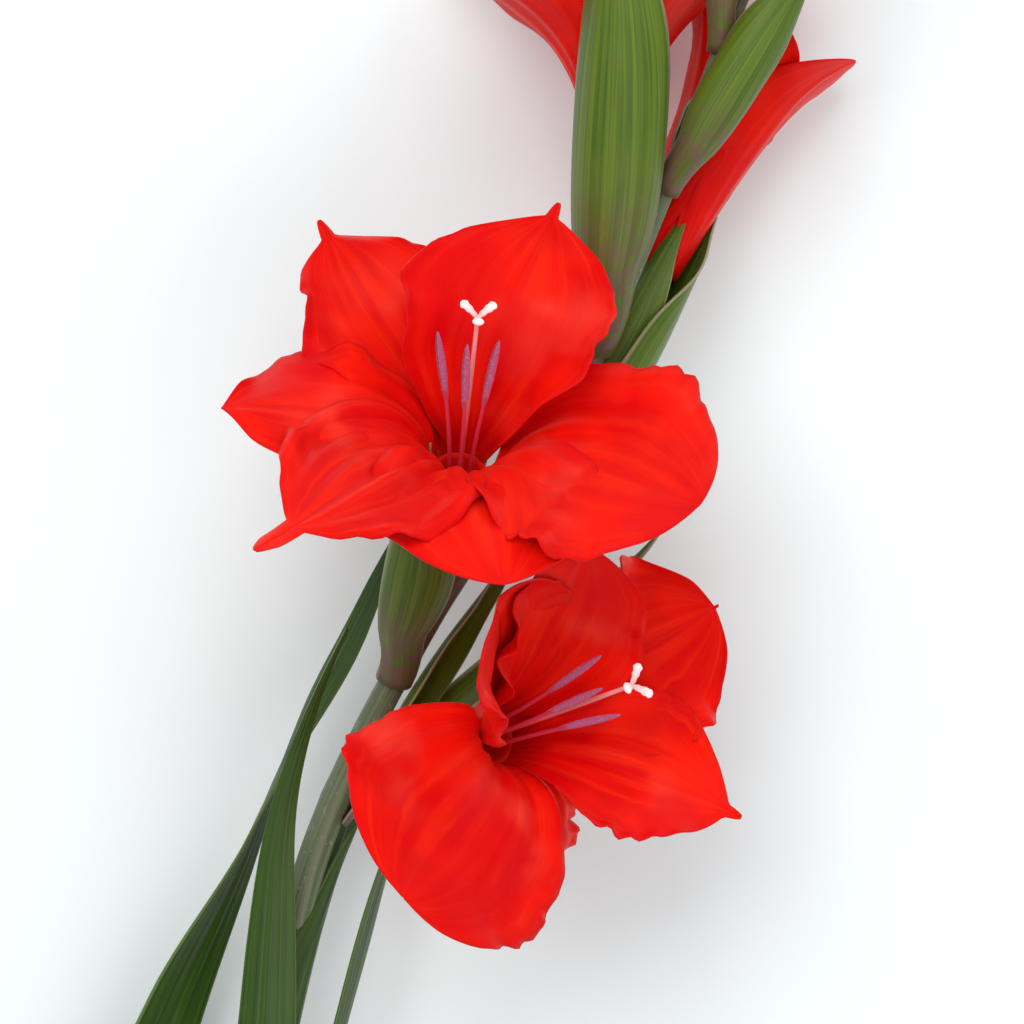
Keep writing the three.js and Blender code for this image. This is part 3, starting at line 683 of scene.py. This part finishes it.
PETAL = petal_material()
TUBE = tube_material()
FILAMENT = thread_material("filament", (0.62, 0.010, 0.012, 1), (0.66, 0.05, 0.10, 1))
STYLE = thread_material("style", (0.70, 0.020, 0.020, 1), (0.88, 0.34, 0.34, 1))
STIGMA = thread_material("stigma", (0.90, 0.52, 0.50, 1), (0.95, 0.88, 0.86, 1), 0.6)
ANTHER = anther_material()
STEM = stem_material()
CUT_FACE = cut_material()
BRACT = green_sheet(
    "bract",
    light=(0.125, 0.19, 0.012, 1),
    dark=(0.055, 0.105, 0.006, 1),
    base=(0.16, 0.075, 0.060, 0.85),
    rim=(0.50, 0.40, 0.30, 0.5),
    lines=46,
    roughness=0.42,
)
LEAF = green_sheet(
    "leaf",
    light=(0.045, 0.105, 0.006, 1),
    dark=(0.014, 0.045, 0.002, 1),
    base=(0.13, 0.19, 0.07, 0.5),
    rim=(0.15, 0.24, 0.05, 0.5),
    lines=40,
    roughness=0.36,
    coat=0.2,
)
RED_BUD = bud_material("red_bud", (0.62, 0.02, 0.012, 1), (0.42, 0.006, 0.008, 1), (0.82, 0.012, 0.006, 0.7))
GREEN_BUD = bud_material("green_bud", (0.33, 0.42, 0.13, 1), (0.17, 0.28, 0.06, 1), (0.42, 0.20, 0.10, 0.35))


# ---------------------------------------------------------------- stem
def make_stem():
    """The stem swells a little at each node. It has faint ribs and a cut face at its lower end."""
    rows, sides = 240, 30
    y = np.linspace(-STEM_BELOW, NODE_HEIGHTS[-1], rows)
    feet = NODE_HEIGHTS[:-1] + [leaf["start"] for leaf in LEAVES.values()]
    swelling = sum(np.exp(-(((y - foot) / 2.2) ** 2)) for foot in feet)
    radius = stem_radius(y) * (1 + 0.05 * np.clip(swelling, 0, 1) + 0.012 * irregular(3, y / 60, 0.5, 2))
    radius[-1] *= 0.4
    grid, around = round_grid(stem_points(y), radius, sides, lobes=lambda a: 1 + 0.018 * np.cos(9 * a))
    shell = Shell()
    shell.add(grid, around, np.linspace(0, 1, rows), round_=True, ends=(1, True))
    shell.piece("stem", [STEM, CUT_FACE])


# ---------------------------------------------------------------- flowers
def tepal_grid(spec, layer, seed, ruffle):
    """A tepal in its flower's frame: the mouth is at the origin and the flower looks along +Z."""
    rows, columns = 58, 37
    t = towards_tip(rows)
    around = math.radians(spec["around"])
    out = vec(math.cos(around), math.sin(around), 0)
    axis = vec(0, 0, 1)
    length = TEPAL_LENGTH * spec["length"]
    half_width = TEPAL_WIDTH * spec["width"] / 2

    # The middle line, from just outside the tube's rim to the tip.
    steps = 400
    fine = np.linspace(0, 1, steps)
    bend = np.radians(through(spec["bend"], fine))
    reach = np.interp(t, fine, np.cumsum(np.sin(bend)) / steps * length) + MOUTH_RADIUS + layer
    height = np.interp(t, fine, np.cumsum(np.cos(bend)) / steps * length) + GAP - layer
    foot = 1 - ease(0, 0.1, t)
    reach = reach - foot * 0.35 * layer
    height = height - foot * 1.4
    bend = np.radians(through(spec["bend"], t))
    tangent = np.cos(bend)[:, None] * axis + np.sin(bend)[:, None] * out
    normal = np.sin(bend)[:, None] * axis - np.cos(bend)[:, None] * out
    side = np.cross(tangent, normal)
    point = reach[:, None] * out + height[:, None] * axis
    point = point + side * (spec.get("lean", 0) * length * t**2)[:, None]
    frames = point, tangent, normal, side

    across = np.linspace(-1, 1, columns)
    base = 1.3 * (MOUTH_RADIUS + layer) * math.pi / 6 / half_width
    finger, finger_start = spec.get("finger", NO_FINGER)
    widest, blunt = spec.get("widest", WIDEST), spec.get("blunt", BLUNT)
    half = half_width * outline(np.minimum(t / finger_start, 1), base, widest, blunt)
    scallops = 0.04 * irregular(seed + 7, t, 1.5, 4) + 0.022 * irregular(seed + 8, t, 8, 14)
    smooth_tip = 1 - ease(0.68, 0.88, t)
    half = half * (1 + scallops * ease(0.3, 0.6, t) * smooth_tip)
    # Some blades end in a small finger.
    half = np.maximum(half, finger * np.sqrt(np.clip((1.004 - t) / 0.07, 0, 1)))
    curl = np.cos(bend) / reach + math.radians(spec["cup"]) / half_width * t
    grid, normal = sheet_grid(frames, half, curl, across)

    # The margin waves, the blade is softly pleated near the throat, and the midrib is a shallow groove.
    a, rows_t = across[None], t[:, None]
    room = np.minimum(1, half / (0.4 * half_width))[:, None]
    left = irregular(seed, rows_t, 1.2, 4.5)
    right = irregular(seed + 1, rows_t, 1.2, 4.5)
    wave = np.where(a < 0, left, right) * np.abs(a) ** 2.6 * ease(0.12, 0.55, rows_t) * room
    left = irregular(seed + 4, rows_t, 7, 13)
    right = irregular(seed + 5, rows_t, 7, 13)
    frill = np.where(a < 0, left, right) * np.abs(a) ** 7 * ease(0.35, 0.6, rows_t)
    frill = frill * smooth_tip[:, None]
    pleat = irregular(seed + 2, a / 2 + 0.5, 2.5, 6) * ease(0.0, 0.12, rows_t)
    pleat = pleat * (1 - ease(0.35, 0.85, rows_t))
    groove = -np.exp(-((a / 0.09) ** 2)) * np.sin(math.pi * np.clip(rows_t, 0.02, 1)) ** 0.5
    soft = irregular(seed + 3, rows_t * 0.7 + a * 0.25, 0.8, 2.2) * ease(0.3, 0.8, rows_t) * room
    folds = spec.get("pleat", PLEAT) * pleat
    shift = ruffle * (wave + 0.42 * frill + 0.34 * soft + folds) + 0.45 * groove
    return grid + normal * shift[..., None], (across + 1) / 2, t


def make_tepal(name, spec, layer, head, seed, ruffle):
    grid, across, along = tepal_grid(spec, layer, seed, ruffle)
    shell = Shell()
    shell.add(head(grid), across, along)
    shell.piece(name, [PETAL], PETAL_SKIN)


def rooted(line, t, reach=0.16):
    """The line of a flower's tube or bract, drawn to the stem's axis at its foot."""
    hold = (1 - ease(-0.02, reach, t))[:, None]
    return line + (stem_points(line[:, 1]) - line) * hold


def make_tube(name, foot, bend_start, bend_end, mouth):
    """A flower's tube, thicker at its foot where the ovary is."""
    t = np.linspace(0, 1, 36)
    line = rooted(bezier(foot, bend_start, bend_end, mouth, t), t)
    radius = TUBE_RADIUS + (MOUTH_RADIUS - TUBE_RADIUS) * t**2
    ovary = 1.5 * np.exp(-(((t - 0.06) / 0.06) ** 2))
    radius = (radius + ovary) * np.minimum(1, 0.12 + 14 * t) - 0.25
    grid, around = round_grid(line, radius, 30, lobes=lambda a: 1 + 0.02 * np.cos(6 * a))
    shell = Shell()
    shell.add(grid, around, t, round_=True)
    shell.piece(name, [TUBE], TUBE_SKIN)


def arch(length, place, lean, aside, steps=30):
    """A stamen's or style's line: it leaves the throat at its place and arches to the hooded side."""
    t = np.linspace(0, 1, steps)
    place = math.radians(place)
    x = THREAD_PLACE * math.cos(place) + aside * t**2
    y = THREAD_PLACE * math.sin(place) + lean * t**2
    return np.stack([x, y, GAP - THROAT_DEPTH + (length - GAP + THROAT_DEPTH) * t], -1)


def sacs(angle):
    return 1 - 0.28 * np.abs(np.cos(angle)) ** 6


def make_stamen(name, spec, head):
    """A thin filament that carries a long anther of two pollen sacs."""
    filament = arch(STAMEN_LENGTH - ANTHER_LENGTH * 0.7, spec["place"], spec["lean"], spec["aside"])
    way = unit(filament[-1] - filament[-2])
    t = np.linspace(0, 1, 22)
    sag = 0.6 * np.sin(math.pi * t)[:, None] * unit(np.cross(way, vec(1, 0, 0)))
    anther = filament[-1] + (t[:, None] * 1.3 - 0.3) * ANTHER_LENGTH * way + sag
    swell = ANTHER_RADIUS * np.maximum(0.12, np.sin(math.pi * np.clip(t, 0.01, 0.99)) ** 0.45)
    shell = Shell()
    s = np.linspace(0, 1, len(filament))
    grid, around = round_grid(head(filament), FILAMENT_RADIUS * (1.15 - 0.4 * s), 10)
    shell.add(grid, around, s, 0, True, (True, True))
    grid, around = round_grid(head(anther), swell, 18, squash=0.75, lobes=sacs)
    shell.add(grid, around, t, 1, True, (1, 1))
    shell.piece(name, [FILAMENT, ANTHER])


def make_style(name, head):
    """The style with its three pale stigma lobes."""
    line = arch(STYLE_LENGTH, 90, 7, 0)
    s = np.linspace(0, 1, len(line))
    shell = Shell()
    grid, around = round_grid(head(line), STYLE_RADIUS * (1.1 - 0.25 * s), 10)
    shell.add(grid, around, s, 0, True, (True, True))
    tip, way = line[-1], unit(line[-1] - line[-2])
    t = np.linspace(0, 1, 14)
    for turn in (30, 150, 270):
        turn = math.radians(turn)
        out = unit(vec(math.cos(turn), math.sin(turn), 0))
        # A lobe leaves along the style, arches outwards and ends in a flat spoon.
        lobe = tip + STIGMA_LENGTH * (t[:, None] ** 0.8 * 0.5 * way + (t[:, None] ** 1.2) * 0.9 * out)
        crinkle = 1 + 0.12 * np.sin(21 * t + turn)
        radius = STYLE_RADIUS * (0.9 + 1.5 * t**1.1) * crinkle * np.minimum(1, 6 * (1.03 - t)) ** 0.5
        grid, around = round_grid(head(lobe), radius, 12, first_normal=head(out) - head(0 * out), squash=0.6)
        shell.add(grid, around, t, 1, True, (1, 1))
    shell.piece(name, [STYLE, STIGMA])


def make_bract(name, start, way, keel, wrap, girth, length, clasp, seed):
    """A bract wraps an imaginary sheath that starts at a point and runs straight along way. Its foot clasps
    the stem by so many degrees each side, or not at all."""
    rows, columns = 46, 25
    t = towards_tip(rows, 1.2)
    level = unit(np.cross(way, vec(0, 0, 1)))
    keel = math.radians(keel)
    # Turns level about way by -keel.
    outward = level * math.cos(keel) - np.cross(way, level) * math.sin(keel)
    radius = through(np.array([0.52, 0.88, 1, 0.94, 0.78]) * girth, t)
    hold = (1 - ease(-0.02, 0.14, t)) * (clasp > 0)
    radius = radius + (stem_radius(start[1]) + 0.8 - radius) * hold
    wrap = np.radians(through(wrap, t))
    wrap = wrap + (math.radians(clasp) - wrap) * hold
    centre = start + np.outer(t * length - 4 * hold, way)
    if clasp:
        centre = rooted(centre, t, 0.14)
    line = centre + np.outer(radius, outward)
    half = radius * wrap * outline(t, 1, 0.45, 0.8)
    across = np.linspace(-1, 1, columns)
    grid, normal = sheet_grid(frames_along(line, -outward), half, 1 / radius, across)
    a, rows_t = across[None], t[:, None]
    ridge = -np.exp(-((a / 0.05) ** 2)) * (0.35 + 0.3 * rows_t)
    ribs = 0.07 * np.cos(a * math.pi * 9) * (1 - np.abs(a))
    lip = irregular(seed, rows_t + np.where(a < 0, 0.5, 0), 0.8, 2.6)
    lip = lip * np.abs(a) ** 4 * ease(0.2, 0.7, rows_t)
    room = np.minimum(1, half / 3)[:, None]
    grid = grid + normal * ((ridge + ribs + 0.6 * lip) * room)[..., None]
    shell = Shell()
    shell.add(grid, (across + 1) / 2, t)
    shell.piece(name, [BRACT], BRACT_SKIN)


def make_flower(index, flower):
    """A flower on its node: tube, tepals and bracts, and in an open one its stamens and style."""
    name = f"flower_{index + 1}"
    face = heading(*flower["face"])
    side = math.radians(flower["side"])
    beside = vec(math.cos(side), 0, math.sin(side))
    height = NODE_HEIGHTS[index]
    foot = stem_points(height) + beside * (stem_radius(height) + TUBE_RADIUS + GAP)
    mouth = foot + np.array(flower["reach"]) * TUBE_LENGTH
    bend_start = foot + heading(*flower["rise"]) * TUBE_LENGTH / 3
    bend_end = mouth - face * TUBE_LENGTH / 3
    across = unit(np.cross(face, vec(0, 0, 1)))
    axes = np.stack([across, np.cross(face, across), face], -1)

    def head(points):
        return points @ axes.T + mouth

    if flower["open"]:
        make_style(f"{name}_style", head)
        for k, spec in enumerate(STAMENS):
            make_stamen(f"{name}_stamen_{k + 1}", spec, head)
    for k, spec in enumerate(flower["tepals"]):
        seed = 100 * index + 10 * k
        ruffle = spec.get("ruffle", OPEN_RUFFLE if flower["open"] else CLOSED_RUFFLE)
        make_tepal(f"{name}_tepal_{k + 1}", spec, TEPAL_LAYER * (k % 2), head, seed, ruffle)
    make_tube(f"{name}_tube", foot, bend_start, bend_end, mouth)
    inner_start = bezier(foot, bend_start, bend_end, mouth, np.array([1 / 8]))[0]
    for part, start in (("inner_bract", inner_start), ("outer_bract", foot)):
        spec = flower[part]
        way = heading(spec["yaw"], spec["pitch"])
        girth, length = BRACT_RADIUS * spec["girth"], BRACT_LENGTH * spec["length"]
        clasp = spec.get("clasp", OUTER_CLASP) if part == "outer_bract" else 0
        keel, wrap = spec["keel"], spec["wrap"]
        make_bract(f"{name}_{part}", start, way, keel, wrap, girth, length, clasp, BRACT_SEED + index)


# ---------------------------------------------------------------- buds
def make_bud(index, bud):
    """A closed bud: its tepals wrap round each other, so its outline steps where one lies over the next."""
    name = f"bud_{len(FLOWERS) + 1 + index}"
    way = heading(bud["yaw"], STEM_RISE)
    height = NODE_HEIGHTS[len(FLOWERS) + index]
    girth = BUD_RADIUS * bud["size"]
    sheath = girth + BRACT_THICKNESS / 2 + 2 * GAP
    side = math.radians(bud["side"])
    beside = vec(math.cos(side), 0, math.sin(side))
    away = stem_radius(height) + girth * BUD_SWELL[0] + GAP if bud["bracts"] else 0
    foot = stem_points(height + (0 if bud["bracts"] else GAP)) + beside * away
    t = np.linspace(0, 1, 40)
    line = rooted(foot + np.outer(t * BUD_LENGTH * bud["size"], way), t, 0.2)
    radius = girth * through(BUD_SWELL, t)
    radius = radius * np.minimum(1, 9 * (1.004 - t)) ** 0.5
    grid, around = round_grid(line, radius, 42)
    # Three overlaps wind slowly round the bud, each rising and then dropping back.
    turns = (around[None] * 3 + 0.9 * t[:, None]) % 1
    step = 0.16 * ease(0.1, 1.0, turns) * (1 - ease(0.93, 1.0, turns))
    centre = line[:, None]
    grid = centre + (grid - centre) * (0.9 + step * ease(0.05, 0.3, t)[:, None])[..., None]
    shell = Shell()
    shell.add(grid, around, t, 0, True, (True, True))
    red = index < 2
    shell.piece(name, [RED_BUD if red else GREEN_BUD])
    for layer in bud["bracts"]:
        outer = layer == "outer"
        keel = bud["side"] if outer else bud["side"] + 180
        wrap = (100, 116, 100, 80, 50) if outer else (30, 50, 50, 45, 30)
        length = BUD_LENGTH * bud["size"] * (1.1 if outer else 0.5)
        clasp = OUTER_CLASP if outer else 0
        seed = BUD_BRACT_SEED + index
        make_bract(f"{name}_{layer}_bract", foot, way, keel, wrap, sheath, length, clasp, seed)


# ---------------------------------------------------------------- leaves
def make_leaf(name, leaf, seed):
    """A leaf that sheathes the stem at its foot and then opens into a blade with ribs and a midrib."""
    rows, columns = 96, 25
    t = np.linspace(0, 1, rows)
    radius = LEAF_SHEATH_RADIUS + leaf["layer"] * LEAF_SHEATH_PITCH
    roll = np.radians(through(leaf["turn"], t))
    keel = np.stack([np.sin(roll), 0 * t, np.cos(roll)], -1)
    shift = np.stack([through(leaf["aside"], t), 0 * t, through(leaf["above"], t)], -1)
    y = leaf["start"] + (leaf["end"] - leaf["start"]) * t
    line = stem_points(y) + shift + keel * radius
    tangent = unit(np.gradient(line, axis=0))
    normal = -keel + tangent * np.sum(keel * tangent, axis=1, keepdims=True)
    normal = unit(normal)
    wrap = np.radians(through(leaf["wrap"], t))
    sheath = radius * wrap * (1 - ease(0.42, 0.58, t))
    half = np.maximum(through(leaf["width"], t) / 2, sheath)
    frames = line, tangent, normal, np.cross(tangent, normal)
    across = np.linspace(-1, 1, columns)
    grid, normal = sheet_grid(frames, half, wrap / half, across)
    a, rows_t = across[None], t[:, None]
    room = np.minimum(1, half / 3)[:, None]
    ribs = 0.10 * np.cos(a * math.pi * 7) * (1 - a**2)
    midrib = -0.32 * np.exp(-((a / 0.07) ** 2))
    wave = irregular(seed, rows_t + 0.12 * a, 1.0, 3.0) * np.abs(a) ** 2 * ease(0.45, 0.75, rows_t)
    grid = grid + normal * ((ribs + midrib + 0.45 * wave) * room)[..., None]
    shell = Shell()
    shell.add(grid, (across + 1) / 2, t)
    shell.piece(name, [LEAF], LEAF_SKIN)


make_stem()
for index, flower in enumerate(FLOWERS):
    make_flower(index, flower)
for index, bud in enumerate(BUDS):
    make_bud(index, bud)
for index, (name, leaf) in enumerate(LEAVES.items()):
    make_leaf(name, leaf, LEAF_SEED + index)


# ---------------------------------------------------------------- floor, light and camera
def floor():
    """A plain pale floor, a few metres across, just under the spike."""
    size, drop = 6.0, 0.0002
    mesh = bpy.data.meshes.new("floor")
    corners = [(-size, -size, -drop), (size, -size, -drop), (size, size, -drop), (-size, size, -drop)]
    mesh.from_pydata(corners, [], [(0, 1, 2, 3)])
    material, _, shader = new_material("floor")
    shader.inputs["Base Color"].default_value = (0.88, 0.94, 0.94, 1)
    shader.inputs["Roughness"].default_value = 0.7
    mesh.materials.append(material)
    made = bpy.data.objects.new("floor", mesh)
    bpy.context.scene.collection.objects.link(made)


def soft_light(name, place, size, power, warmth=(1, 1, 1)):
    """A square soft box that looks at the middle of the spike and that no camera sees."""
    data = bpy.data.lights.new(name, "AREA")
    data.size = size
    data.energy = power
    data.color = warmth
    made = bpy.data.objects.new(name, data)
    made.location = place
    middle = Vector((0, 0.06, 0.05))
    made.rotation_euler = (middle - Vector(place)).to_track_quat("-Z", "Y").to_euler()
    made.visible_camera = False
    bpy.context.scene.collection.objects.link(made)


def world_light(strength):
    world = bpy.data.worlds.new("studio")
    world.use_nodes = True
    background = world.node_tree.nodes["Background"]
    background.inputs["Color"].default_value = (0.93, 0.97, 1.0, 1)
    background.inputs["Strength"].default_value = strength
    bpy.context.scene.world = world


def camera():
    """A long lens straight above the open flowers, rolled so that the spike leans as it was seen."""
    seen, distance, roll = 0.2048, 3.0, 25
    # How far the middle of the view is from the second flower's mouth.
    aside, along = 0.0128, -0.0029
    second = FLOWERS[1]
    side = math.radians(second["side"])
    away = stem_radius(NODE_HEIGHTS[1]) + TUBE_RADIUS + GAP
    foot = stem_points(NODE_HEIGHTS[1]) + vec(math.cos(side), 0, math.sin(side)) * away
    mouth = lay(foot + np.array(second["reach"]) * TUBE_LENGTH) * MM
    data = bpy.data.cameras.new("camera")
    data.sensor_width = 36
    data.lens = data.sensor_width * distance / seen
    made = bpy.data.objects.new("camera", data)
    place = Vector((mouth[0] + aside, mouth[1] + along, mouth[2] + distance))
    made.matrix_world = Matrix.Translation(place) @ Matrix.Rotation(math.radians(roll), 4, "Z")
    bpy.context.scene.collection.objects.link(made)
    bpy.context.scene.camera = made


floor()
soft_light("key", (-0.7, 0.6, 1.7), 1.3, 21)
soft_light("fill", (1.0, -0.4, 1.5), 1.5, 9)
soft_light("rim", (0.3, 1.6, 0.7), 0.9, 5)
world_light(0.55)
camera()
bpy.context.scene.view_settings.view_transform = "Standard"
